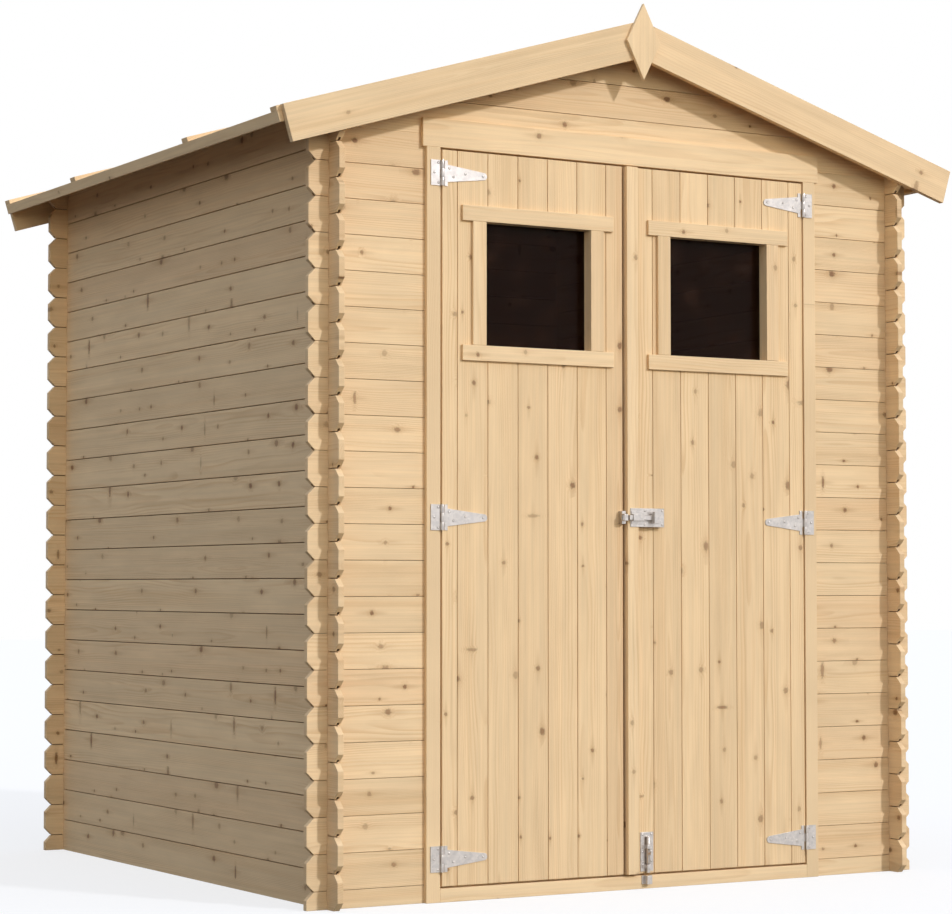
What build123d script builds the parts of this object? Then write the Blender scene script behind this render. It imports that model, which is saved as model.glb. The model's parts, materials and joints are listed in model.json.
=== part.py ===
from build123d import *
from math import ceil, cos, radians, sin, tan
import os

# Log walls: boards laid on edge that cross at the corners
course = 88.0              # height of one wall board
board_t = 16.0             # thickness of wall, door and roof boards
front_offset_share = 0.5   # front and rear boards sit this share of a course lower
neck_share = 0.5           # share of a board's height left between its corner notches
shed_width = 1732.0        # over the outer faces of the side walls
shed_depth = 1710.0        # over the outer faces of the front and rear walls
log_end = 55.0             # length of a log end past the wall that it crosses
log_chamfer = 20.0         # chamfer on the corners of a log end
joint_play = 0.2           # play in notches, grooves and butt joints

# Roof
roof_pitch = 16.8          # slope in degrees
eave_overhang = 158.0      # deck past the outer face of a side wall, along the slope
barge_gap = 1.0            # bargeboard clear of the log ends
barge_t = 16.0
barge_w = 93.0
batten_w = 34.0
batten_t = 12.0
batten_spread = 380.0      # inner battens, each side of the middle
eave_t = 12.0
eave_h = 28.0
purlin_w = 40.0
purlin_h = 50.0
finial_w = 103.0
finial_h = 199.0
finial_t = 10.0
finial_rise = 43.0         # tip of the finial over the top of the bargeboards

# Doorway
doorway_w = 1122.0         # between the jambs
jamb_w = 39.0
jamb_d = 40.0
jamb_proud = 12.0          # jambs, sill, header and doors stand this far in front of the wall
jamb_groove = 14.0         # depth of the groove that takes the wall boards
sill_h = 34.0
head_least = 20.0          # least height of the head over the jambs
header_h = 72.0
header_overhang = 11.0     # header past each jamb
stop_lap = 12.0            # door stops behind the edges of the leaves
stop_gap = 5.5             # door stops clear of the backs of the leaves

# Door leaves
door_gap = 5.0             # round each leaf
door_h = 1816.0            # the walls get as many courses as the doors need
meeting_gap = 6.0          # between the two leaves
strip_w = 34.0
strip_t = 14.0
ledge_h = 70.0
ledge_t = 18.0
ledge_inset = 30.0         # ledge ends back from the leaf's edges

# Windows in the doors
window_size = 310.0        # square opening
window_drop = 173.0        # top of the opening under the top of the leaf
trim_w = 39.0
trim_t = 8.0
trim_overhang = 30.0       # level trim past the upright trim
frame_t = 18.0             # inner frame that holds the pane
pane_t = 4.0
pane_lap = 10.0            # pane in the groove of the frame on each side
pane_set = 10.0            # pane behind the back of the leaf

# Strap hinges
hinge_low = 67.0           # lower hinge over the bottom of the leaf
hinge_high = 59.0          # upper hinge under the top of the leaf
hinge_mid_share = 0.495    # height of the middle hinge between the other two
hinge_plate_w = 26.0
hinge_plate_h = 64.0
hinge_t = 2.5
knuckle_r = 4.5
knuckle_clear = 0.5        # knuckles in front of the door
pin_r = 2.5
pin_play = 0.3
knuckle_h = 22.0           # knuckle of the strap, between the two on the plate
knuckle_gap = 0.5
strap_start = 7.5          # wide end of the strap from the pin
strap_length = 130.0
strap_bar_w = 9.0          # upright bar at the wide end
strap_root_h = 46.0
strap_tip_h = 18.0

# Latch across the leaves
latch_height = 949.0
latch_plate_w = 104.0
latch_plate_h = 48.0
latch_inset = 7.0          # plate back from the meeting edge
bolt_t = 8.0
bolt_h = 12.0
bolt_tip = 1.0             # drawn bolt past the meeting edge
bolt_length = 90.0
bolt_play = 0.6
guide_w = 33.0
guide_foot = 8.0
guide_t = 2.0
guide_inset = 2.0          # guide from the end of the latch plate
grip_w = 16.0
grip_h = 30.0
grip_out = 10.0
grip_inset = 4.0           # thumb grip from the tail of the bolt
keeper_w = 12.0
keeper_inset = 1.0         # keeper back from the edge of its leaf

# Foot bolt on the right leaf
foot_plate_w = 40.0
foot_plate_h = 100.0
foot_plate_low = 5.0       # lower end of the plate over the bottom of the leaf
foot_from_strip = 10.0     # plate from the meeting strip
rod_r = 5.0
rod_length = 92.0
rod_tip_low = 2.0          # drawn rod's tip over the bottom of the leaf
rod_knob_from_tip = 49.0
rod_knob_r = 4.0
rod_knob_l = 12.0
foot_guide_h = 10.0
foot_guide_low = 8.0       # lower guide over the lower end of the plate
foot_guide_high = 58.0     # upper guide over the lower end of the plate
foot_keeper_low = 12.0     # keeper over the ground

overrun = 20.0             # extra length of cutting shapes

# Places worked out from the sizes above
half_w = shed_width / 2
half_d = shed_depth / 2
front_y = -half_d
face_y = front_y - jamb_proud
door_low = sill_h + door_gap
door_high = door_low + door_h
jamb_top = door_high + door_gap
front_start = -front_offset_share * course
side_courses = ceil((jamb_top + head_least - front_start) / course)
wall_top = side_courses * course
gable_foot = front_start + side_courses * course
slope = radians(roof_pitch)
ridge_z = wall_top + half_w * tan(slope)
deck_run = half_w / cos(slope) + eave_overhang
barge_top = board_t + batten_t
roof_y = half_d + log_end + barge_gap
doorway_half = doorway_w / 2
jamb_out = doorway_half + jamb_w
wall_stop = jamb_out - jamb_groove
door_edge = doorway_half - door_gap
strip_left = -strip_w / 2
left_meet = strip_left - meeting_gap
door_back = face_y + board_t
jamb_back = face_y + jamb_d
stop_y = door_back + stop_gap
stop_low = door_low + stop_lap
stop_high = door_high - stop_lap
window_x = door_edge / 2
window_top = door_high - window_drop
window_sill = window_top - window_size
pin_x = doorway_half - door_gap / 2
pin_y = face_y - knuckle_r - knuckle_clear
hinge_bottom = door_low + hinge_low
hinge_top = door_high - hinge_high
hinge_middle = hinge_bottom + hinge_mid_share * (hinge_top - hinge_bottom)
hinge_heights = (hinge_bottom, hinge_middle, hinge_top)
bolt_back = face_y - strip_t - hinge_t - bolt_play
bolt_front = bolt_back - bolt_t
foot_x = strip_w / 2 + foot_from_strip + foot_plate_w / 2
foot_low = door_low + foot_plate_low
rod_y = face_y - hinge_t - bolt_play - rod_r
far = shed_width + shed_depth


def block(x0, x1, y0, y1, z0, z1):
    """Box between two corners."""
    middle = ((x0 + x1) / 2, (y0 + y1) / 2, (z0 + z1) / 2)
    return Pos(*middle) * Box(abs(x1 - x0), abs(y1 - y0), abs(z1 - z0))


def prism_y(outline, y0, y1):
    """Solid from y0 to y1 with an outline of (x, z) points."""
    wire = Polyline(*[(x, y0, z) for x, z in outline], close=True)
    return extrude(make_face(wire), y1 - y0, dir=(0, 1, 0))


def prism_x(outline, x0, x1):
    """Solid from x0 to x1 with an outline of (y, z) points."""
    wire = Polyline(*[(x0, y, z) for y, z in outline], close=True)
    return extrude(make_face(wire), x1 - x0, dir=(1, 0, 0))


def upright(radius, x, y, z0, z1):
    """Round bar along Z."""
    return Pos(x, y, (z0 + z1) / 2) * Cylinder(radius, z1 - z0)


def crosswise(radius, x, z, y0, y1):
    """Round bar along Y."""
    return Pos(x, (y0 + y1) / 2, z) * Rot(X=90) * Cylinder(radius, y1 - y0)


def roof_point(side, along, over):
    """Point (x, z) at a distance down one slope and a height square over the deck's underside."""
    x = along * cos(slope) + over * sin(slope)
    z = ridge_z - along * sin(slope) + over * cos(slope)
    return (side * x, z)


def roof_strip(side, low, high, end, y0, y1):
    """Board on one slope from the ridge mitre to its end, between two heights over the underside."""
    outline = [
        roof_point(side, -low * tan(slope), low),
        roof_point(side, end, low),
        roof_point(side, end, high),
        roof_point(side, -high * tan(slope), high),
    ]
    return prism_y(outline, y0, y1)


def space_over_roof():
    """Everything over the underside of the deck, to trim the walls."""
    outline = [
        (0, ridge_z),
        (far, ridge_z - far * tan(slope)),
        (far, ridge_z + far),
        (-far, ridge_z + far),
        (-far, ridge_z - far * tan(slope)),
    ]
    return prism_y(outline, -far, far)


def log_edge(end, away, start, count):
    """Outline of a wall's stacked log ends, each chamfered at its lower and upper corner."""
    inner = end - away * log_chamfer
    points = []
    for k in range(count):
        low = start + k * course
        points += [(inner, low), (end, low + log_chamfer), (end, low + course - log_chamfer)]
    return points + [(inner, start + count * course)]


def log_outline(reach, start, count):
    """Outline of a whole wall with log ends on both sides."""
    return log_edge(reach, 1, start, count) + log_edge(-reach, -1, start, count)[::-1]


def notch_heights(first):
    """Lower and upper edges of the notches for the necks of the crossing wall."""
    half_neck = neck_share * course / 2 + joint_play
    middles = [first + k * course for k in range(side_courses + 1)]
    return [(middle - half_neck, middle + half_neck) for middle in middles]


def side_wall(side):
    """Log wall along Y, notched for the front and rear walls, with its top cut to the roof slope."""
    outer = side * half_w
    inner = side * (half_w - board_t)
    outline = log_outline(half_d + log_end, 0, side_courses + 1)
    wall = prism_x(outline, min(outer, inner), max(outer, inner))
    cuts = [space_over_roof()]
    for crossing in (front_y, half_d - board_t):
        y0 = crossing - joint_play
        y1 = crossing + board_t + joint_play
        for low, high in notch_heights(0):
            cuts.append(block(inner - side * overrun, outer + side * overrun, y0, y1, low, high))
    return wall - cuts


def cross_wall(outline, y0, sides):
    """Log wall along X over the ground, notched for the side walls and cut to the roof slope."""
    wall = prism_y(outline, y0, y0 + board_t)
    y_low = y0 - overrun
    y_high = y0 + board_t + overrun
    cuts = [space_over_roof(), block(-far, far, y_low, y_high, -course, 0)]
    for side in sides:
        outer = side * (half_w + joint_play)
        inner = side * (half_w - board_t - joint_play)
        for low, high in notch_heights(front_offset_share * course):
            cuts.append(block(outer, inner, y_low, y_high, low, high))
    return wall - cuts


def front_wall(side):
    """Front wall beside the doorway, from its log ends into the groove of the jamb."""
    stop = side * wall_stop
    outline = log_edge(side * (half_w + log_end), side, front_start, side_courses)
    outline += [(stop, gable_foot), (stop, front_start)]
    return cross_wall(outline, front_y, [side])


def gable(y0, start):
    """Front or rear wall from a seam up to the roof, with a seat for the ridge purlin."""
    count = int((ridge_z - start) / course) + 1
    wall = cross_wall(log_outline(half_w + log_end, start, count), y0, [-1, 1])
    seat_half = purlin_w / 2 + joint_play
    seat_low = ridge_z - purlin_h - joint_play
    return wall - block(-seat_half, seat_half, y0 - overrun, y0 + board_t + overrun, seat_low, ridge_z)


def jamb(side):
    """Door post with a groove for the ends of the wall boards, and its door stop."""
    post = block(side * doorway_half, side * jamb_out, face_y, jamb_back, 0, jamb_top)
    groove = block(
        side * (wall_stop - joint_play), side * (jamb_out + overrun),
        front_y - joint_play, front_y + board_t + joint_play,
        -overrun, jamb_top + overrun,
    )
    stop = block(
        side * (door_edge - stop_lap), side * doorway_half, stop_y, jamb_back,
        stop_low + joint_play, stop_high - joint_play,
    )
    return Compound(children=[(post - groove).solid(), stop.solid()])


def door_head():
    """Board that closes the wall between the doors and the gable, and its door stop."""
    reach = wall_stop - joint_play
    head = block(-reach, reach, front_y, jamb_back, jamb_top, gable_foot - joint_play)
    stop = block(-doorway_half, doorway_half, stop_y, jamb_back, stop_high, jamb_top)
    return Compound(children=[head.solid(), stop.solid()])


def header_board():
    """Board over the doors, on the front of the wall."""
    reach = jamb_out + header_overhang
    return block(-reach, reach, face_y, front_y, jamb_top, jamb_top + header_h)


def door_sill():
    """Bar on the ground between the jambs, and the door stop on it."""
    sill = block(-doorway_half, doorway_half, face_y, jamb_back, 0, sill_h)
    stop = block(-doorway_half, doorway_half, stop_y, jamb_back, sill_h, stop_low)
    return Compound(children=[sill.solid(), stop.solid()])


def ridge_purlin():
    """Beam under the ridge, with its top cut to both slopes."""
    edge = purlin_w / 2
    shoulder = ridge_z - edge * tan(slope)
    low = ridge_z - purlin_h
    outline = [(-edge, low), (edge, low), (edge, shoulder), (0, ridge_z), (-edge, shoulder)]
    return prism_y(outline, -roof_y, roof_y)


def roof_deck(side):
    """Board deck of one slope."""
    return roof_strip(side, 0, board_t, deck_run, -roof_y, roof_y)


def eave_board(side):
    """Board along the lower edge of the deck, square to the slope."""
    low = board_t - eave_h
    outline = [
        roof_point(side, deck_run, low),
        roof_point(side, deck_run + eave_t, low),
        roof_point(side, deck_run + eave_t, board_t),
        roof_point(side, deck_run, board_t),
    ]
    return prism_y(outline, -roof_y, roof_y)


def roof_battens(side):
    """Battens up one slope, over the deck and the eave board."""
    outer = roof_y - batten_w / 2
    places = (-outer, -batten_spread, batten_spread, outer)
    end = deck_run + eave_t
    battens = []
    for y in places:
        strip = roof_strip(side, board_t, barge_top, end, y - batten_w / 2, y + batten_w / 2)
        battens.append(strip)
    return Compound(children=[batten.solid() for batten in battens])


def bargeboard(side, face):
    """Board on the end of one slope, mitred at the ridge."""
    y0 = min(face * roof_y, face * (roof_y + barge_t))
    return roof_strip(side, barge_top - barge_w, barge_top, deck_run, y0, y0 + barge_t)


def finial(face):
    """Diamond board over the mitre of the bargeboards."""
    tip = ridge_z + barge_top / cos(slope) + finial_rise
    middle = tip - finial_h / 2
    outline = [(0, tip), (finial_w / 2, middle), (0, tip - finial_h), (-finial_w / 2, middle)]
    back = face * (roof_y + barge_t)
    return prism_y(outline, min(back, back + face * finial_t), max(back, back + face * finial_t))


def leaf_span(side):
    """Left and right edges of a door leaf."""
    if side < 0:
        return (-door_edge, left_meet)
    return (strip_left, door_edge)


def door_leaf(side):
    """Board leaf with its window opening."""
    x0, x1 = leaf_span(side)
    leaf = block(x0, x1, face_y, door_back, door_low, door_high)
    middle = side * window_x
    half = window_size / 2
    return leaf - block(
        middle - half, middle + half, face_y - overrun, door_back + overrun, window_sill, window_top,
    )


def door_ledges(side):
    """Level boards across the back of a leaf, behind its hinges."""
    x0, x1 = leaf_span(side)
    ledges = []
    for height in hinge_heights:
        ledge = block(
            x0 + ledge_inset, x1 - ledge_inset, door_back, door_back + ledge_t,
            height - ledge_h / 2, height + ledge_h / 2,
        )
        ledges.append(ledge.solid())
    return Compound(children=ledges)


def window_boards(side, y0, y1, overhang):
    """Four boards round a window opening: two level ones and two uprights between them."""
    middle = side * window_x
    half = window_size / 2
    reach = half + trim_w + overhang
    boards = []
    for low in (window_sill - trim_w, window_top):
        boards.append(block(middle - reach, middle + reach, y0, y1, low, low + trim_w))
    for edge in (-1, 1):
        boards.append(
            block(
                middle + edge * half, middle + edge * (half + trim_w), y0, y1,
                window_sill + joint_play, window_top - joint_play,
            )
        )
    return boards


def window_trim(side):
    """Trim on the front of a leaf."""
    boards = window_boards(side, face_y - trim_t, face_y, trim_overhang)
    return Compound(children=[board.solid() for board in boards])


def window_frame(side):
    """Frame on the back of a leaf, grooved for the pane."""
    seat = pane_space(side, joint_play)
    boards = window_boards(side, door_back, door_back + frame_t, 0)
    return Compound(children=[(board - seat).solid() for board in boards])


def pane_space(side, play):
    """Room that the pane takes, with some play round its edge."""
    middle = side * window_x
    half = window_size / 2 + pane_lap + play
    centre = (window_sill + window_top) / 2
    y0 = door_back + pane_set - play
    y1 = door_back + pane_set + pane_t + play
    return block(middle - half, middle + half, y0, y1, centre - half, centre + half)


def hinge_plate(side, height):
    """Hinge leaf on the jamb with two knuckles and the pin."""
    x = side * pin_x
    low = height - hinge_plate_h / 2
    high = height + hinge_plate_h / 2
    inner = side * (pin_x + knuckle_r + knuckle_gap)
    outer = inner + side * hinge_plate_w
    plate = block(inner, outer, face_y - hinge_t, face_y, low, high)
    gap_low = height - knuckle_h / 2 - knuckle_gap
    gap_high = height + knuckle_h / 2 + knuckle_gap
    for z0, z1 in ((low, gap_low), (gap_high, high)):
        plate += block(x, inner, face_y - hinge_t, face_y, z0, z1)
        plate += upright(knuckle_r, x, pin_y, z0, z1)
    return plate + upright(pin_r, x, pin_y, low, high)


def hinge_strap(side, height):
    """Tapered hinge strap on the door with the middle knuckle."""
    x = side * pin_x
    root = x - side * strap_start
    tip = x - side * strap_length
    tip_r = strap_tip_h / 2
    blade_end = tip + side * tip_r
    outline = [
        (root, height - strap_root_h / 2),
        (blade_end, height - tip_r),
        (blade_end, height + tip_r),
        (root, height + strap_root_h / 2),
    ]
    strap = prism_y(outline, face_y - hinge_t, face_y)
    strap += crosswise(tip_r, blade_end, height, face_y - hinge_t, face_y)
    bar_half = hinge_plate_h / 2
    strap += block(
        root, root - side * strap_bar_w, face_y - hinge_t, face_y, height - bar_half, height + bar_half,
    )
    low = height - knuckle_h / 2
    high = height + knuckle_h / 2
    strap += block(x, root, face_y - hinge_t, face_y, low, high)
    strap += upright(knuckle_r, x, pin_y, low, high)
    return strap - upright(pin_r + pin_play, x, pin_y, low - overrun, high + overrun)


def hinge_set(maker, side):
    """Three like hinge pieces on one post or leaf."""
    return Compound(children=[maker(side, height).solid() for height in hinge_heights])


def meeting_strip():
    """Cover strip on the meeting edge of the right leaf."""
    return block(strip_left, strip_left + strip_w, face_y - strip_t, face_y, door_low, door_high)


def guide_profile(half_room, back, top):
    """Outline (across, out) of a bent guide that bridges a bolt, with two feet."""
    foot = half_room + guide_t + guide_foot
    return [
        (-foot, back), (-half_room, back), (-half_room, top), (half_room, top), (half_room, back),
        (foot, back), (foot, back - guide_t), (half_room + guide_t, back - guide_t),
        (half_room + guide_t, top - guide_t), (-half_room - guide_t, top - guide_t),
        (-half_room - guide_t, back - guide_t), (-foot, back - guide_t),
    ]


def level_guide(x0, x1, back):
    """Guide for the latch bolt between two X places, standing on a face at the given Y."""
    outline = guide_profile(bolt_h / 2 + bolt_play, back, bolt_front - bolt_play)
    return prism_x([(y, latch_height + across) for across, y in outline], x0, x1)


def upright_guide(z0, z1, back):
    """Guide for the foot bolt between two heights, standing on a face at the given Y."""
    outline = guide_profile(rod_r + bolt_play, back, rod_y - rod_r - bolt_play)
    wire = Polyline(*[(foot_x + across, y, z0) for across, y in outline], close=True)
    return extrude(make_face(wire), z1 - z0, dir=(0, 0, 1))


def latch_plate():
    """Plate on the meeting strip with a guide for the bolt."""
    x0 = strip_left + latch_inset
    x1 = x0 + latch_plate_w
    back = face_y - strip_t
    front = back - hinge_t
    plate = block(x0, x1, front, back, latch_height - latch_plate_h / 2, latch_height + latch_plate_h / 2)
    guide_x = x0 + guide_inset
    return plate + level_guide(guide_x, guide_x + guide_w, front)


def latch_bolt():
    """Flat bolt with a thumb grip, drawn back from the keeper."""
    tip = strip_left - bolt_tip
    tail = tip + bolt_length
    low = latch_height - bolt_h / 2
    bolt = block(tip, tail, bolt_front, bolt_back, low, low + bolt_h)
    grip_end = tail - grip_inset
    grip_low = latch_height - grip_h / 2
    return bolt + block(
        grip_end - grip_w, grip_end, bolt_front - grip_out, bolt_front, grip_low, grip_low + grip_h,
    )


def latch_keeper():
    """Bridge that takes the bolt, on a packing on the edge of the left leaf."""
    x1 = left_meet - keeper_inset
    x0 = x1 - keeper_w
    back = face_y - strip_t
    half = bolt_h / 2 + bolt_play + guide_t + guide_foot
    packing = block(x0, x1, back, face_y, latch_height - half, latch_height + half)
    return packing + level_guide(x0, x1, back)


def foot_bolt_plate():
    """Plate low on the right leaf with two guides for the foot bolt."""
    front = face_y - hinge_t
    plate = block(
        foot_x - foot_plate_w / 2, foot_x + foot_plate_w / 2, front, face_y, foot_low, foot_low + foot_plate_h,
    )
    for start in (foot_guide_low, foot_guide_high):
        plate += upright_guide(foot_low + start, foot_low + start + foot_guide_h, front)
    return plate


def foot_bolt():
    """Round bolt with a knob, drawn up from the sill."""
    tip = door_low + rod_tip_low
    rod = upright(rod_r, foot_x, rod_y, tip, tip + rod_length)
    knob_z = tip + rod_knob_from_tip
    return rod + crosswise(rod_knob_r, foot_x, knob_z, rod_y - rod_r - rod_knob_l, rod_y)


def foot_bolt_keeper():
    """Bridge on the front of the sill that takes the foot bolt."""
    return upright_guide(foot_keeper_low, sill_h, face_y)


sides = {"left": -1, "right": 1}
faces = {"front": -1, "rear": 1}

pieces = {
    "rear_wall": gable(half_d - board_t, front_start),
    "front_gable": gable(front_y, gable_foot),
    "door_head": door_head(),
    "header_board": header_board(),
    "door_sill": door_sill(),
    "ridge_purlin": ridge_purlin(),
    "meeting_strip": meeting_strip(),
    "latch_plate": latch_plate(),
    "latch_bolt": latch_bolt(),
    "latch_keeper": latch_keeper(),
    "foot_bolt_plate": foot_bolt_plate(),
    "foot_bolt": foot_bolt(),
    "foot_bolt_keeper": foot_bolt_keeper(),
}
for name, side in sides.items():
    pieces[f"{name}_wall"] = side_wall(side)
    pieces[f"front_wall_{name}"] = front_wall(side)
    pieces[f"{name}_jamb"] = jamb(side)
    pieces[f"roof_deck_{name}"] = roof_deck(side)
    pieces[f"eave_board_{name}"] = eave_board(side)
    pieces[f"roof_battens_{name}"] = roof_battens(side)
    pieces[f"{name}_hinge_plates"] = hinge_set(hinge_plate, side)
    pieces[f"{name}_hinge_straps"] = hinge_set(hinge_strap, side)
    pieces[f"{name}_door_leaf"] = door_leaf(side)
    pieces[f"{name}_door_ledges"] = door_ledges(side)
    pieces[f"{name}_window_trim"] = window_trim(side)
    pieces[f"{name}_window_frame"] = window_frame(side)
    pieces[f"{name}_window_pane"] = pane_space(side, 0)
    for face_name, face in faces.items():
        pieces[f"{face_name}_bargeboard_{name}"] = bargeboard(side, face)
for face_name, face in faces.items():
    pieces[f"{face_name}_finial"] = finial(face)

os.makedirs("parts", exist_ok=True)
for name, piece in pieces.items():
    export_step(piece, f"parts/{name}.step")
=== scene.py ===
import json
from math import cos, pi, radians, sin
from random import Random

import bmesh
import bpy
from mathutils import Matrix, Vector

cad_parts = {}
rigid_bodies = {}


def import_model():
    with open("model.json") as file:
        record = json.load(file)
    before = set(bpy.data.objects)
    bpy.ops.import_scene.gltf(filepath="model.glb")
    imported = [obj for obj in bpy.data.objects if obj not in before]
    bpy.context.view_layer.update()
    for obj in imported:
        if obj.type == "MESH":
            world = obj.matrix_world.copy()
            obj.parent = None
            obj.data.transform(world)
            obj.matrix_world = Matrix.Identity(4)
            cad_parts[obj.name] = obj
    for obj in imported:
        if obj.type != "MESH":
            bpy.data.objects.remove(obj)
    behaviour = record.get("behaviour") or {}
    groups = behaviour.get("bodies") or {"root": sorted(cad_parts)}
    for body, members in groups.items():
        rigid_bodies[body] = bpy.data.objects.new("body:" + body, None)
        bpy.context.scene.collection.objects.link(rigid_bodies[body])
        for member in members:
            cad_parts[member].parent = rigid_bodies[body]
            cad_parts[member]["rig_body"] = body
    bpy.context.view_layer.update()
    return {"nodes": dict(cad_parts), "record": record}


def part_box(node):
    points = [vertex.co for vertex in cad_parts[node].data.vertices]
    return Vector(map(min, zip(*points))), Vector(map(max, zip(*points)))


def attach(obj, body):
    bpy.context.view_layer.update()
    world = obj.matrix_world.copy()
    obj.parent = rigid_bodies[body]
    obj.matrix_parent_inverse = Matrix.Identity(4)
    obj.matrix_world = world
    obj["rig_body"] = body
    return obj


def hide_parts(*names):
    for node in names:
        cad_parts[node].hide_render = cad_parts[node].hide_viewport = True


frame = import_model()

# Boards, in metres
course = 0.088             # height of a wall board and width of a roof board
seam_gap = 0.0017          # open joint between two boards of a door or the roof
side_gap = 0.0023          # and of the side and rear walls
front_gap = 0.0011         # and of the front
seam_depth = 0.0070        # from a board's face down to the tongue in its joint
tongue_lap = 0.0004        # tongue into the boards on both sides
least_board = 0.012        # a joint keeps at least this far from the end of a wall
arris = 0.0010             # softened edge of a board
log_chamfer = 0.020        # chamfer on the corners of a log end
groove_w = 0.0056          # groove under each wall board, open at its log ends
groove_h = 0.0060
groove_l = 0.030           # depth of the open end
groove_slack = 0.0004      # a face this near to the groove's width lies in it
left_door_seam = -0.513    # first board joint of the left leaf
right_door_seam = 0.071    # first board joint of the right leaf
roof_pitch = radians(16.8)
grain_stock = 40.0         # length of grain that the boards of a piece are cut from
end_fade = 4               # power by which end grain fades on slanting faces

# Metal
metal_edge = 0.0007        # softened edge of a metal piece
plate_t = 0.0025           # thickness of the metal plates
screw_r = 0.0036
screw_h = 0.0018
screw_turns = 20           # sides of a screw head
cross_l_share = 0.32       # arm of the cross recess, share of the head's radius
cross_w_share = 0.08       # half its width
cross_d_share = 0.2        # its depth, share of the head's height

# Screws, from the pin towards the jamb and over the middle of a hinge
plate_screws = ((0.0105, -0.025), (0.022, 0.0), (0.0105, 0.025))
strap_screws = ((-0.021, 0.013), (-0.033, -0.008), (-0.067, 0.002), (-0.118, 0.0))
pin_place = 0.5585         # hinge pins, each side of the middle
# Screws, from the lower left corner of a plate
latch_screws = [(right, up) for right in (0.044, 0.098) for up in (0.006, 0.042)]
foot_screws = [(right, up) for up in (0.026, 0.050, 0.094) for right in (0.006, 0.034)]

# Meshes
weld_reach = 1e-5          # corners this near are one
cut_reach = 1e-6           # corners this near to a cut lie on it
flat_angle = radians(0.5)  # faces that meet below this are one flat face
edge_angle = radians(25)   # faces that meet above this have an edge to soften
round_angles = radians(1), radians(30)  # faces that meet between these are parts of a round
edge_steps = 2             # faces across a softened edge

# Pine, lengths in metres
ring_w = 0.0038            # growth of one year
ring_waver = 0.026         # how far the rings waver along a board
ring_bend = 1.6            # how far they bend round a knot, in its radii
pith_side = 0.07           # pith at most this far from the middle of a board
pith_near = 0.012          # pith at least this far under the face
pith_far = 0.11
knot_cell_l = 0.135        # each cell of a board has one knot at most
knot_cell_w = 0.088
knot_r_least = 0.0027
knot_r_most = 0.0078
small_knots = 1.6          # power by which small knots are the common ones
faint_knot = 0.34          # depth of the faintest knot, share of the darkest
knot_waves = 210.0         # waves in a metre of a knot's ragged edge
tail_stretch = 0.16        # tails of a knot along the grain, width to length
fibre_l_waves = 7.0        # waves of the fibres in a metre along the grain
fibre_w_waves = 700.0      # and across it
luck_step = 917.0          # sets the random values of the boards apart
band_share = 0.38          # how far each colour covers the pale wood
warm_share = 0.22
tail_share = 0.34
halo_share = 0.28
heart_share = 0.9
rim_share = 0.45
# painted shade deep in the joints, how far it covers the wood
joint_shade_share = 0.85
pine_gloss = 0.3
pine_relief = 0.00035      # depth of the grain

# Zinc and window sheets, lengths in metres
spangle_waves = 170.0      # waves in a metre
cloud_waves = 38.0
brush_waves = (90.0, 90.0, 2200.0)
zinc_relief = 0.00008
# waves in a metre of the smears, which are partly a painted reflection
smear_and_reflection_waves = 14.0
sheet_waves = 3.5
sheet_alpha = 0.6
sheet_ior = 1.49
sheet_gloss = 0.1
sheet_relief = 0.0006

# Camera and light
camera_place = (-3.7927, -6.5432, 0.7727)
camera_turn = (radians(92.7915), 0, radians(-30.4218))
camera_lens = 100.317      # millimetres, on a sensor 36 wide
sun_towards = Vector((0.394, -0.794, 0.463))
sun_strength = 1.6
sun_colour = (0.985, 1.0, 1.07)
sun_spread = radians(4)
sky_fill = (0.49, 0.545, 0.655, 1.0)
sky_low_share = 0.6        # of the sky fill at the horizon
sky_high_share = 1.6       # of the sky fill overhead
front_fill = (1.93, 1.78, 1.42, 1.0)  # low in front of the object
front_from = -0.1          # the front fill starts this far round to the front
front_full = -0.8          # and is full from here
front_top = 0.5            # it starts below this height
front_low = 0.15           # and is full below this one
floor_size = 60.0
floor_grey = 0.05          # what the floor throws back on the object
floor_glow = 0.7           # added to the floor where the camera or a reflection sees it

WHITE = (1.0, 1.0, 1.0, 1.0)
AXES = (Vector((1, 0, 0)), Vector((0, 1, 0)), Vector((0, 0, 1)))
X, Y, Z = range(3)
SLOT = {part["node"]: part["material_slot"] for part in frame["record"]["subparts"]}


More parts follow.
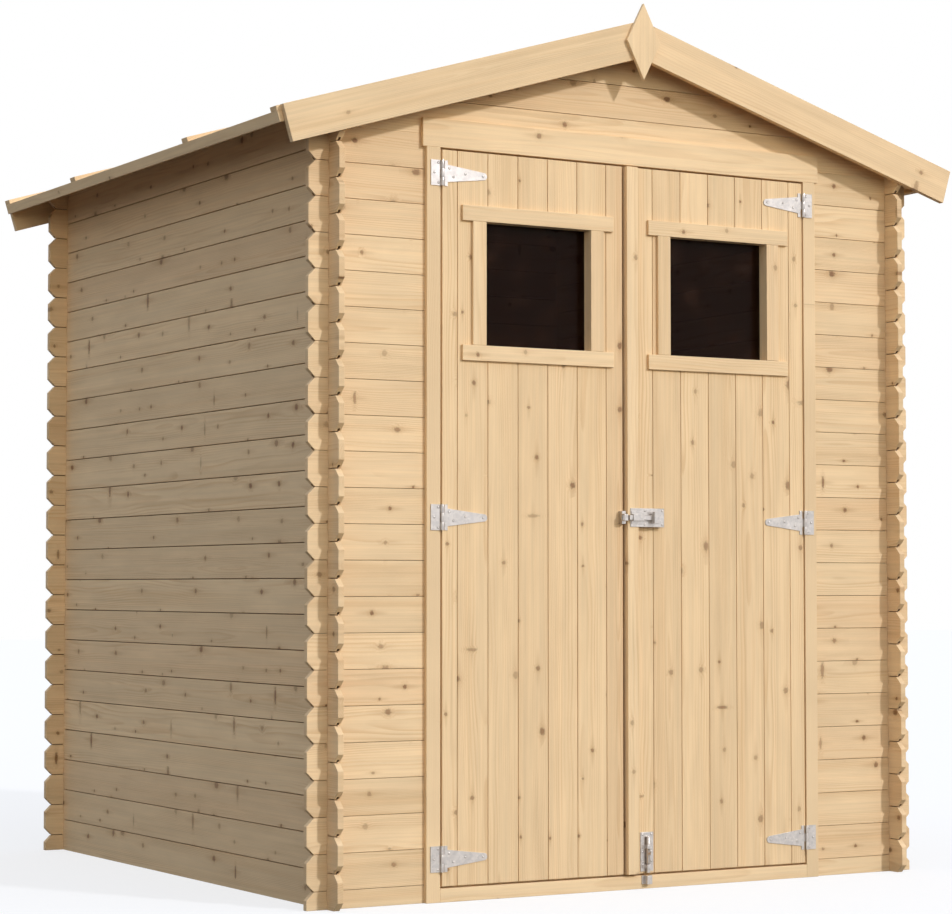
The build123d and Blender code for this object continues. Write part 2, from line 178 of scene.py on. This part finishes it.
class Shader:
    """Node tree of one material or world, with short calls that add nodes to it."""

    def __init__(self, owner, surface):
        owner.use_nodes = True
        self.owner = owner
        self.tree = owner.node_tree
        self.surface = self.tree.nodes[surface].inputs

    def feed(self, socket, value):
        """Links another node's output to a socket, or sets a plain value on it."""
        if isinstance(value, bpy.types.NodeSocket):
            self.tree.links.new(value, socket)
        else:
            socket.default_value = value

    def add(self, kind, inputs, **settings):
        """Adds a node with its settings and fills its inputs."""
        node = self.tree.nodes.new(f"ShaderNode{kind}")
        for name, value in settings.items():
            setattr(node, name, value)
        for key, value in inputs.items():
            self.feed(node.inputs[key], value)
        return node

    def attribute(self, name, output):
        """Value that the mesh carries."""
        return self.add("Attribute", {}, attribute_name=name).outputs[output]

    def math(self, operation, *values):
        return self.add("Math", dict(enumerate(values)), operation=operation).outputs[0]

    def times(self, *values):
        """Product of several values."""
        product = values[0]
        for value in values[1:]:
            product = self.math("MULTIPLY", product, value)
        return product

    def vector(self, x, y, z):
        return self.add("CombineXYZ", {"X": x, "Y": y, "Z": z}).outputs[0]

    def parts(self, vector):
        """The three parts of a vector or colour."""
        return self.add("SeparateXYZ", {0: vector}).outputs[:3]

    def noise(self, vector, scale=1.0, detail=2.0, roughness=0.5):
        inputs = {"Vector": vector, "Scale": scale, "Detail": detail, "Roughness": roughness}
        return self.add("TexNoise", inputs).outputs[0]

    def smooth(self, value, low, high):
        """Soft step from 0 at low to 1 at high."""
        inputs = {"Value": value, "From Min": low, "From Max": high}
        return self.add("MapRange", inputs, interpolation_type="SMOOTHSTEP").outputs[0]

    def spread(self, value, low, high):
        """A value from 0 to 1 set between two limits."""
        return self.add("MapRange", {"Value": value, "To Min": low, "To Max": high}).outputs[0]

    def length(self, a, b):
        return self.math("SQRT", self.math("ADD", self.times(a, a), self.times(b, b)))

    def mix(self, share, first, second):
        return self.add("Mix", {0: share, 6: first, 7: second}, data_type="RGBA").outputs[2]

    def shade(self, colour, strength):
        """A colour times a grey value."""
        inputs = {0: 1.0, 6: colour, 7: self.vector(strength, strength, strength)}
        return self.add("Mix", inputs, data_type="RGBA", blend_type="MULTIPLY").outputs[2]

    def seen(self):
        """1 where the camera, a reflection or a view through glass sees the surface, otherwise 0."""
        ray = self.add("LightPath", {}).outputs
        either = self.math("MAXIMUM", ray["Is Camera Ray"], ray["Is Glossy Ray"])
        return self.math("MAXIMUM", either, ray["Is Transmission Ray"])

    def finish(self, colour, roughness, height, depth):
        """Connects colour, roughness and bump to the surface."""
        bump = self.add("Bump", {"Height": height, "Strength": 1.0, "Distance": depth})
        self.feed(self.surface["Base Color"], colour)
        self.feed(self.surface["Roughness"], roughness)
        self.feed(self.surface["Normal"], bump.outputs[0])
        return self.owner


def material(name):
    """Shader of a new material."""
    return Shader(bpy.data.materials.new(name), "Principled BSDF")


def paint(red, green, blue):
    """Linear colour from the red, green and blue of a screen colour, each up to 255."""
    return tuple(((part / 255 + 0.055) / 1.055) ** 2.4 for part in (red, green, blue)) + (1.0,)


# Colours of pine
log_pale = paint(236, 206, 163)
roof_pale = paint(230, 199, 156)
door_pale = paint(235, 204, 160)
trim_pale = paint(236, 206, 163)
late_wood = paint(200, 154, 102)
band_wood = paint(212, 172, 122)
warm_wood = paint(224, 182, 138)
tail_wood = paint(174, 130, 82)
halo_wood = paint(188, 138, 86)
heart_dark = paint(82, 50, 28)
heart_pale = paint(156, 107, 65)
rim_wood = paint(104, 68, 40)
end_wood = paint(186, 138, 86)
# Painted shade deep in the joints, on the tongues and inside the grooves
joint_painted_shade = paint(88, 52, 26)

# Colours of zinc and window sheets
zinc_pale = paint(206, 198, 190)
zinc_dull = paint(178, 173, 169)
# The sheet is painted a dark that stands for the shade of the room behind it; its lighter smears are partly
# a painted reflection
sheet_room_shade = paint(24, 8, 3)
sheet_smear_and_reflection = paint(50, 30, 20)


class Board:
    """Places in a board and random values of its own, as a material finds them in the mesh."""

    def __init__(self, s):
        self.s = s
        self.along, self.across, self.through = s.parts(s.attribute("grain", "Vector"))
        self.luck = s.attribute("board", "Fac")
        seed = s.times(self.luck, luck_step)
        chance = s.add("TexWhiteNoise", {"W": seed}, noise_dimensions="1D").outputs["Color"]
        self.luck_a, self.luck_b, self.luck_c = s.parts(chance)

    def noise(self, along, across, salt, detail=2.0):
        """Noise with so many waves in a metre along and across the board, not the same in any two boards."""
        s = self.s
        place = s.vector(s.times(self.along, along), s.times(self.across, across), s.times(self.luck, salt))
        return s.noise(place, detail=detail)

    def fibre(self):
        """Fine fibres along the board."""
        s = self.s
        across = s.times(self.across, fibre_w_waves)
        through = s.times(self.through, fibre_w_waves)
        return s.noise(s.vector(s.times(self.along, fibre_l_waves), across, through))


class Knots:
    """Knots in some cells of a board: dark core, darker rim, and the halo and tails round them."""

    def __init__(self, board, share, depth):
        s = board.s
        cell_l = s.math("DIVIDE", board.along, knot_cell_l)
        cell_w = s.math("MULTIPLY_ADD", board.across, 1 / knot_cell_w, 0.5)
        place = s.vector(cell_l, cell_w, board.luck)
        cells = s.add("TexVoronoi", {"Vector": place, "Scale": 1.0}, voronoi_dimensions="2D").outputs
        off = s.add("VectorMath", {0: place, 1: cells["Position"]}, operation="SUBTRACT").outputs[0]
        off_l, off_w = s.parts(off)[:2]
        chance, size, form = s.parts(cells["Color"])
        kind = s.add("TexWhiteNoise", {"Vector": cells["Position"]}, noise_dimensions="2D").outputs["Value"]
        tone = s.times(s.math("LESS_THAN", chance, share), s.spread(kind, faint_knot * depth, depth))

        self.radius = s.spread(s.math("POWER", size, small_knots), knot_r_least, knot_r_most)
        self.warp = board.noise(along=knot_waves, across=knot_waves, salt=1.0, detail=3.0)
        spike = s.smooth(form, 0.86, 0.92)
        run_l = s.times(off_l, knot_cell_l, s.spread(form, 0.7, 1.25))
        run_w = s.times(off_w, knot_cell_w, s.spread(spike, 1.0, 0.32))
        ragged = s.times(s.length(run_l, run_w), s.spread(self.warp, 0.35, 1.65))
        reach = s.math("DIVIDE", ragged, self.radius)

        # Steps by the distance from the middle of the knot, in its radii
        self.core = s.times(tone, s.smooth(reach, 1.2, 0.6))
        self.rim = s.times(tone, s.smooth(reach, 1.55, 1.05), s.smooth(reach, 0.55, 0.95))
        self.halo = s.times(tone, s.smooth(reach, 3.6, 0.7))
        tail = s.length(s.times(off_l, knot_cell_l, tail_stretch), s.times(off_w, knot_cell_w))
        self.tail = s.times(tone, s.smooth(s.math("DIVIDE", tail, self.radius), 2.0, 0.3))


def late_growth(board, knots):
    """Dark late wood in the rings round a pith, which the knots bend, clear in some stretches only."""
    s = board.s
    waver = board.noise(along=1.6, across=9.0, salt=60.0)
    from_pith = s.math("SUBTRACT", board.across, s.spread(board.luck_a, -pith_side, pith_side))
    depth = s.math("ADD", board.through, s.spread(board.luck_b, pith_near, pith_far))
    ring = s.math("MULTIPLY_ADD", waver, ring_waver, s.length(from_pith, depth))
    ring = s.math("ADD", ring, s.times(knots.halo, knots.radius, ring_bend))
    phase = s.math("FRACT", s.math("DIVIDE", ring, ring_w))
    # Darkens through the year and ends sharply
    late = s.times(s.smooth(phase, 0.3, 0.85), s.smooth(phase, 1.0, 0.9))
    clear = board.noise(along=2.2, across=34.0, salt=35.0)
    return s.times(late, s.spread(s.smooth(clear, 0.32, 0.68), 0.1, 1.3))


def wood_colour(board, knots, late, fibre, pale, rings):
    """Colour of pine: rings, bands, streaks and blotches in the pale wood, then knots, ends and painted
    shade in the joints.
    """
    s = board.s
    band = board.noise(along=0.6, across=28.0, salt=90.0)
    streak = board.noise(along=1.1, across=110.0, salt=70.0, detail=4.0)
    blotch = board.noise(along=5.0, across=24.0, salt=50.0, detail=3.0)
    ends = s.attribute("end_grain", "Fac")
    # Painted shade on the faces deep in a joint
    joint = s.attribute("joint", "Fac")

    colour = s.mix(s.times(late, rings), pale, late_wood)
    colour = s.mix(s.times(s.smooth(band, 0.5, 0.78), band_share), colour, band_wood)
    colour = s.mix(s.times(s.smooth(board.luck_c, 0.55, 1.0), warm_share), colour, warm_wood)
    for pattern, darkest, palest in (
        (streak, 0.88, 1.12),
        (blotch, 0.88, 1.12),
        (fibre, 0.94, 1.06),
        (board.luck_b, 0.94, 1.05),
    ):
        colour = s.shade(colour, s.spread(pattern, darkest, palest))
    heart = s.mix(knots.warp, heart_dark, heart_pale)
    for share, tint in (
        (s.times(knots.tail, tail_share), tail_wood),
        (s.times(knots.halo, halo_share), halo_wood),
        (s.times(knots.core, heart_share), heart),
        (s.times(knots.rim, rim_share), rim_wood),
        (s.times(ends, s.spread(late, 0.06, 0.3)), end_wood),
        # painted shade deep in the joints
        (s.times(joint, joint_shade_share), joint_painted_shade),
    ):
        colour = s.mix(share, colour, tint)
    return colour


def pine(name, pale, rings, knot_share, knot_depth):
    """Planed pine: growth rings round a pith, streaks, and knots that bend the rings.

    The shares say how strong the rings are, how many cells have a knot, and how dark the knots get.
    """
    s = material(name)
    board = Board(s)
    knots = Knots(board, knot_share, knot_depth)
    late = late_growth(board, knots)
    fibre = board.fibre()
    colour = wood_colour(board, knots, late, fibre, pale, rings)
    rough = s.math("SUBTRACT", s.spread(fibre, 0.6, 0.8), s.times(knots.core, 0.12))
    height = s.math("SUBTRACT", s.times(fibre, 0.5), s.times(late, 0.35))
    height = s.math("MULTIPLY_ADD", knots.core, 0.5, height)
    s.surface["Specular IOR Level"].default_value = pine_gloss
    return s.finish(colour, rough, height, pine_relief)


def zinc(name):
    """Bright zinc plating with faint spangle, brushing and dull spots."""
    s = material(name)
    place = s.add("TexCoord", {}).outputs["Object"]
    spangle = s.add("TexVoronoi", {"Vector": place, "Scale": spangle_waves}).outputs["Color"]
    brush = s.noise(s.add("Mapping", {"Vector": place, "Scale": brush_waves}).outputs[0])
    cloud = s.noise(place, scale=cloud_waves, detail=4.0)
    colour = s.mix(s.spread(s.parts(spangle)[0], 0.0, 0.6), zinc_pale, zinc_dull)
    colour = s.shade(colour, s.spread(cloud, 0.85, 1.1))
    rough = s.math("MULTIPLY_ADD", s.smooth(cloud, 0.45, 0.75), 0.08, s.spread(brush, 0.30, 0.38))
    s.surface["Metallic"].default_value = 1.0
    return s.finish(colour, rough, s.math("MULTIPLY_ADD", cloud, 0.6, brush), zinc_relief)


def window_sheet(name):
    """Thin sheet in front of a dark room, slightly wavy, coloured a painted dark that stands for the shade
    of the room behind, with faint smears that are partly a painted reflection.
    """
    s = material(name)
    place = s.add("TexCoord", {}).outputs["Object"]
    smear_and_reflection = s.noise(place, scale=smear_and_reflection_waves, detail=9.0, roughness=0.7)
    wave = s.noise(place, scale=sheet_waves, detail=1.0)
    # Painted dark for the room's shade, with smears that are partly a painted reflection
    colour = s.mix(s.smooth(smear_and_reflection, 0.5, 0.7), sheet_room_shade, sheet_smear_and_reflection)
    s.surface["Alpha"].default_value = sheet_alpha
    s.surface["IOR"].default_value = sheet_ior
    s.surface["Specular IOR Level"].default_value = sheet_gloss
    return s.finish(colour, s.spread(s.smooth(smear_and_reflection, 0.4, 0.8), 0.03, 0.16), wave, sheet_relief)


MATERIALS = {
    "log_board_pine": pine("log_board_pine", log_pale, rings=0.3, knot_share=0.7, knot_depth=1.0),
    "roof_board_pine": pine("roof_board_pine", roof_pale, rings=0.3, knot_share=0.5, knot_depth=0.9),
    "door_board_pine": pine("door_board_pine", door_pale, rings=0.3, knot_share=0.6, knot_depth=0.84),
    "trim_pine": pine("trim_pine", trim_pale, rings=0.2, knot_share=0.32, knot_depth=0.8),
    "zinc_plated_steel": zinc("zinc_plated_steel"),
    "window_pane": window_sheet("window_pane"),
}


def solid_mesh(node):
    """Mesh of a CAD node with its corners joined."""
    bm = bmesh.new()
    bm.from_mesh(frame["nodes"][node].data)
    bmesh.ops.remove_doubles(bm, verts=bm.verts[:], dist=weld_reach)
    return bm


def whole_faces(bm):
    """Joins the triangles of flat faces."""
    bmesh.ops.dissolve_limit(bm, angle_limit=flat_angle, verts=bm.verts[:], edges=bm.edges[:])


def soften(bm, width):
    """Bevels the outer edges of a mesh and gives back the new faces."""
    edges = [e for e in bm.edges if e.is_manifold and e.is_convex and e.calc_face_angle() > edge_angle]
    bevel = bmesh.ops.bevel(
        bm, geom=edges, offset=width, segments=edge_steps, profile=0.5, affect="EDGES", clamp_overlap=True,
    )
    return bevel["faces"]


def slab(source, axis, low, high):
    """Part of a mesh between two places on an axis, closed at the cuts."""
    bm = source.copy()
    for place, way in ((low, -1), (high, 1)):
        geometry = bm.verts[:] + bm.edges[:] + bm.faces[:]
        bmesh.ops.bisect_plane(
            bm, geom=geometry, plane_co=axis * place, plane_no=axis * way, clear_outer=True, dist=cut_reach,
        )
        rim = [e for e in bm.edges if e.is_boundary]
        bmesh.ops.holes_fill(bm, edges=rim, sides=0)
    bmesh.ops.recalc_face_normals(bm, faces=bm.faces[:])
    return bm


def solids(source):
    """Separate meshes of the solids in one mesh."""
    source.verts.index_update()
    left = {v.index for v in source.verts}
    found = []
    while left:
        group = set()
        queue = [source.verts[:][min(left)]]
        while queue:
            vert = queue.pop()
            if vert.index not in group:
                group.add(vert.index)
                queue += [e.other_vert(vert) for e in vert.link_edges]
        left -= group
        bm = source.copy()
        bmesh.ops.delete(bm, geom=[v for v in bm.verts if v.index not in group], context="VERTS")
        found.append(bm)
    return found


def extent(bm, axis):
    """Lowest and highest place of a mesh on an axis."""
    places = [v.co.dot(axis) for v in bm.verts]
    return min(places), max(places)


def add_box(bm, middle, size):
    """Adds a box to a mesh."""
    bmesh.ops.create_cube(bm, size=1.0, matrix=Matrix.Translation(middle) @ Matrix.Diagonal((*size, 1.0)))


def carved(bm, cutters):
    """Mesh with other solids cut out of it."""
    pair = []
    for part in (bm, cutters):
        mesh = bpy.data.meshes.new("carving")
        part.to_mesh(mesh)
        pair.append(bpy.data.objects.new("carving", mesh))
        bpy.context.scene.collection.objects.link(pair[-1])
    body, tool = pair
    cut = body.modifiers.new("cut", "BOOLEAN")
    cut.object = tool
    result = bmesh.new()
    result.from_object(body, bpy.context.evaluated_depsgraph_get())
    for mesh in [part.data for part in pair]:
        bpy.data.meshes.remove(mesh)
    return result


def shown(name, mesh, node):
    """Object for a mesh that moves with a CAD node and stands for it."""
    piece = bpy.data.objects.new(name, mesh)
    bpy.context.scene.collection.objects.link(piece)
    mesh.materials.append(MATERIALS[SLOT[node]])
    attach(piece, frame["nodes"][node]["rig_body"])
    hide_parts(node)


def unshaded_face(face):
    """Share of the painted shade of a joint on a face in the open, which is none."""
    return 0.0


def shaded_tongue_face(face):
    """Share of the painted shade of a joint on a tongue, which is all of it."""
    return 1.0


class Timber:
    """Boards gathered into one mesh, with each corner's place in the grain of its own board."""

    def __init__(self, node):
        self.node = node
        self.luck = Random(node)
        self.verts = []
        self.faces = []
        self.grain = []
        self.board = []
        self.ends = []
        self.joint = []

    def add(self, bm, axes, dark=unshaded_face):
        """Adds a board whose grain runs along its longest side, with the painted shade of a joint on its
        faces.
        """
        spans = sorted((extent(bm, axis) + (axis,) for axis in axes), key=lambda span: span[0] - span[1])
        shift = self.luck.uniform(0, grain_stock)
        chance = self.luck.random()
        first = len(self.verts)
        bm.verts.index_update()
        for vert in bm.verts:
            place = [vert.co.dot(axis) - (low + high) / 2 for low, high, axis in spans]
            place[0] += shift
            self.verts.append(vert.co[:])
            self.grain += place
            self.board.append(chance)
        for face in bm.faces:
            self.faces.append([first + v.index for v in face.verts])
            self.ends.append(abs(face.normal.dot(spans[0][2])) ** end_fade)
            self.joint.append(dark(face))

    def show(self):
        """Makes the object that stands for the node."""
        mesh = bpy.data.meshes.new(f"{self.node}_timber")
        mesh.from_pydata(self.verts, [], self.faces)
        mesh.attributes.new("grain", "FLOAT_VECTOR", "POINT").data.foreach_set("vector", self.grain)
        mesh.attributes.new("board", "FLOAT", "POINT").data.foreach_set("value", self.board)
        mesh.attributes.new("end_grain", "FLOAT", "FACE").data.foreach_set("value", self.ends)
        # Painted shade of the joints, one value for each face
        mesh.attributes.new("joint", "FLOAT", "FACE").data.foreach_set("value", self.joint)
        shown(f"{self.node}_timber", mesh, self.node)


def slope_axes(node):
    """Directions of a roof piece: down the slope, along the ridge and square to the slope."""
    side = -1 if "left" in node else 1
    return (
        Vector((side * cos(roof_pitch), 0, -sin(roof_pitch))), AXES[Y],
        Vector((side * sin(roof_pitch), 0, cos(roof_pitch))),
    )


def seams_between(low, high, first):
    """Board joints one course apart, between the ends of a wall."""
    count = int((high - first) / course) + 1
    places = [first + k * course for k in range(count)]
    return [place for place in places if low + least_board < place < high - least_board]


def boarded(node, source, split, first, thin, axes=AXES, gap=seam_gap, dark=unshaded_face):
    """Cuts a mesh into boards at joints one course apart, with a tongue in each joint."""
    low, high = extent(source, AXES[split])
    seams = seams_between(low, high, first)
    starts = [low - course] + [place + gap / 2 for place in seams]
    stops = [place - gap / 2 for place in seams] + [high + course]
    timber = Timber(node)
    for start, stop in zip(starts, stops):
        board = slab(source, AXES[split], start, stop)
        whole_faces(board)
        soften(board, arris)
        timber.add(board, axes, dark)
    inner, outer = extent(source, thin)
    reach = gap / 2 + tongue_lap
    for place in seams:
        tongue = slab(source, AXES[split], place - reach, place + reach)
        for vert in tongue.verts:
            height = vert.co.dot(thin)
            vert.co += thin * (min(max(height, inner + seam_depth), outer - seam_depth) - height)
        timber.add(tongue, axes, shaded_tongue_face)
    timber.show()


def log_wall(node, run, thin, first, gap, ways=(-1, 1)):
    """Wall of log boards whose grooves open in the notches between the log ends."""
    source = solid_mesh(node)
    middle = sum(extent(source, AXES[thin])) / 2
    ends = dict(zip((-1, 1), extent(source, AXES[run])))
    size = AXES[run] * 2 * groove_l + AXES[thin] * groove_w + AXES[Z] * groove_h
    grooves = bmesh.new()
    for seam in seams_between(*extent(source, AXES[Z]), first):
        height = seam + gap / 2 + groove_h / 2
        for way in ways:
            notch = ends[way] - way * log_chamfer
            add_box(grooves, AXES[run] * notch + AXES[thin] * middle + AXES[Z] * height, size)

    def shaded_groove_face(face):
        """Share of the painted shade of a joint on a face, which is all of it inside a groove."""
        return float(all(abs(vert.co[thin] - middle) < groove_w / 2 + groove_slack for vert in face.verts))

    boarded(node, carved(source, grooves), Z, first, AXES[thin], gap=gap, dark=shaded_groove_face)


def joinery(node, axes=AXES):
    """Plain boards, one for each solid of a node."""
    timber = Timber(node)
    for board in solids(solid_mesh(node)):
        whole_faces(board)
        soften(board, arris)
        timber.add(board, axes)
    timber.show()


def screw_head():
    """Domed screw head with a slanting cross recess, facing the front."""
    dome_r = (screw_r ** 2 + screw_h ** 2) / (2 * screw_h)
    ball = bmesh.new()
    bmesh.ops.create_uvsphere(
        ball, u_segments=screw_turns, v_segments=screw_turns, radius=dome_r,
        matrix=Matrix.Translation((0, dome_r - screw_h, 0)) @ Matrix.Rotation(pi / 2, 4, "X"),
    )
    for face in ball.faces:
        face.smooth = True
    head = slab(ball, AXES[Y], -2 * screw_h, 0)
    arm_size = (2 * screw_r * cross_l_share, 2 * screw_h * cross_d_share, 2 * screw_r * cross_w_share)
    for turn in (pi / 4, -pi / 4):
        arm = bmesh.new()
        add_box(arm, (0, -screw_h, 0), arm_size)
        bmesh.ops.rotate(arm, verts=arm.verts[:], matrix=Matrix.Rotation(turn, 3, "Y"))
        head = carved(head, arm)
    mesh = bpy.data.meshes.new("screw")
    head.to_mesh(mesh)
    return mesh


SCREW = screw_head()


def metalwork(node, screws=()):
    """Metal piece with softened edges and smooth round faces, and screws at the given places."""
    bm = solid_mesh(node)
    whole_faces(bm)
    least, most = round_angles
    for face in bm.faces:
        face.smooth = any(least < edge.calc_face_angle(pi) < most for edge in face.edges)
    for face in soften(bm, metal_edge):
        face.smooth = True
    for place in screws:
        before = set(bm.verts)
        bm.from_mesh(SCREW)
        bmesh.ops.translate(bm, verts=[vert for vert in bm.verts if vert not in before], vec=place)
    mesh = bpy.data.meshes.new(f"{node}_metal")
    bm.to_mesh(mesh)
    shown(f"{node}_metal", mesh, node)


def hinge_screws(node, side, face, places):
    """Screw places on the three hinge pieces of a node."""
    found = []
    for piece in solids(solid_mesh(node)):
        height = sum(extent(piece, AXES[Z])) / 2
        for out, up in places:
            found.append(Vector((side * (pin_place + out), face, height + up)))
    return found


def plate_corner_screws(node, face, places):
    """Screw places on a plate, from its lower left corner."""
    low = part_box(node)[0]
    return [Vector((low.x + right, face, low.z + up)) for right, up in places]


def glazing(node):
    """Window sheet with polished edges."""
    bm = solid_mesh(node)
    whole_faces(bm)
    soften(bm, metal_edge)
    mesh = bpy.data.meshes.new(f"{node}_glass")
    bm.to_mesh(mesh)
    shown(f"{node}_glass", mesh, node)


# Walls
for node in ("left_wall", "right_wall"):
    log_wall(node, Y, X, course, side_gap)
log_wall("front_wall_left", X, Y, course / 2, front_gap, (-1,))
log_wall("front_wall_right", X, Y, course / 2, front_gap, (1,))
log_wall("rear_wall", X, Y, course / 2, side_gap)
log_wall("front_gable", X, Y, course / 2, front_gap)

# Roof
for node in ("roof_deck_left", "roof_deck_right"):
    axes = slope_axes(node)
    boarded(node, solid_mesh(node), Y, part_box(node)[0].y + course, axes[2], axes)
for side in ("left", "right"):
    joinery(f"eave_board_{side}", slope_axes(side))
    joinery(f"roof_battens_{side}", slope_axes(side))
    joinery(f"front_bargeboard_{side}", slope_axes(side))
    joinery(f"rear_bargeboard_{side}", slope_axes(side))
for node in ("front_finial", "rear_finial", "ridge_purlin"):
    joinery(node)

# Doorway and doors
for node in ("left_jamb", "right_jamb", "door_head", "header_board", "door_sill", "meeting_strip"):
    joinery(node)
boarded("left_door_leaf", solid_mesh("left_door_leaf"), X, left_door_seam, AXES[Y])
boarded("right_door_leaf", solid_mesh("right_door_leaf"), X, right_door_seam, AXES[Y])
for side in ("left", "right"):
    joinery(f"{side}_door_ledges")
    joinery(f"{side}_window_trim")
    joinery(f"{side}_window_frame")
    glazing(f"{side}_window_pane")

# Metal
hinge_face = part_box("foot_bolt_plate")[1].y - plate_t
for side, way in (("left", -1), ("right", 1)):
    for node, places in ((f"{side}_hinge_plates", plate_screws), (f"{side}_hinge_straps", strap_screws)):
        metalwork(node, hinge_screws(node, way, hinge_face, places))
latch_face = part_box("latch_plate")[1].y - plate_t
metalwork("latch_plate", plate_corner_screws("latch_plate", latch_face, latch_screws))
metalwork("foot_bolt_plate", plate_corner_screws("foot_bolt_plate", hinge_face, foot_screws))
for node in ("latch_bolt", "latch_keeper", "foot_bolt", "foot_bolt_keeper"):
    metalwork(node)


def pale_floor():
    """Floor that the camera and reflections see pale, with the object's shadow on it."""
    mesh = bpy.data.meshes.new("floor")
    half = floor_size / 2
    corners = [(-half, -half, 0), (half, -half, 0), (half, half, 0), (-half, half, 0)]
    mesh.from_pydata(corners, [], [(0, 1, 2, 3)])
    floor = bpy.data.objects.new("floor", mesh)
    bpy.context.scene.collection.objects.link(floor)
    s = material("floor")
    mesh.materials.append(s.owner)
    seen = s.seen()
    grey = s.spread(seen, floor_grey, 1 - floor_glow)
    s.feed(s.surface["Base Color"], s.vector(grey, grey, grey))
    s.surface["Roughness"].default_value = 1.0
    s.surface["Specular IOR Level"].default_value = 0.0
    s.surface["Emission Color"].default_value = WHITE
    s.feed(s.surface["Emission Strength"], s.times(seen, floor_glow))


def surroundings():
    """White background, with a soft light from the sky and from low in front."""
    world = bpy.data.worlds.new("studio")
    w = Shader(world, "Background")
    way = w.parts(w.add("TexCoord", {}).outputs["Generated"])
    in_front = w.smooth(way[Y], front_from, front_full)
    low_front = w.times(in_front, w.smooth(way[Z], front_top, front_low))
    sky = w.shade(sky_fill, w.spread(way[Z], sky_low_share, sky_high_share))
    fill = w.mix(low_front, sky, front_fill)
    w.feed(w.surface["Color"], w.mix(w.seen(), fill, WHITE))
    bpy.context.scene.world = world


def key_light():
    """Sun with soft shadows, from the front right."""
    lamp = bpy.data.lights.new("key", "SUN")
    lamp.energy = sun_strength
    lamp.color = sun_colour
    lamp.angle = sun_spread
    key = bpy.data.objects.new("key", lamp)
    key.rotation_euler = sun_towards.to_track_quat("Z", "Y").to_euler()
    bpy.context.scene.collection.objects.link(key)


def camera():
    """Camera at the photograph's place."""
    data = bpy.data.cameras.new("camera")
    data.lens = camera_lens
    eye = bpy.data.objects.new("camera", data)
    eye.location = camera_place
    eye.rotation_euler = camera_turn
    bpy.context.scene.collection.objects.link(eye)
    bpy.context.scene.camera = eye


pale_floor()
surroundings()
key_light()
camera()
bpy.context.scene.view_settings.view_transform = "Standard"
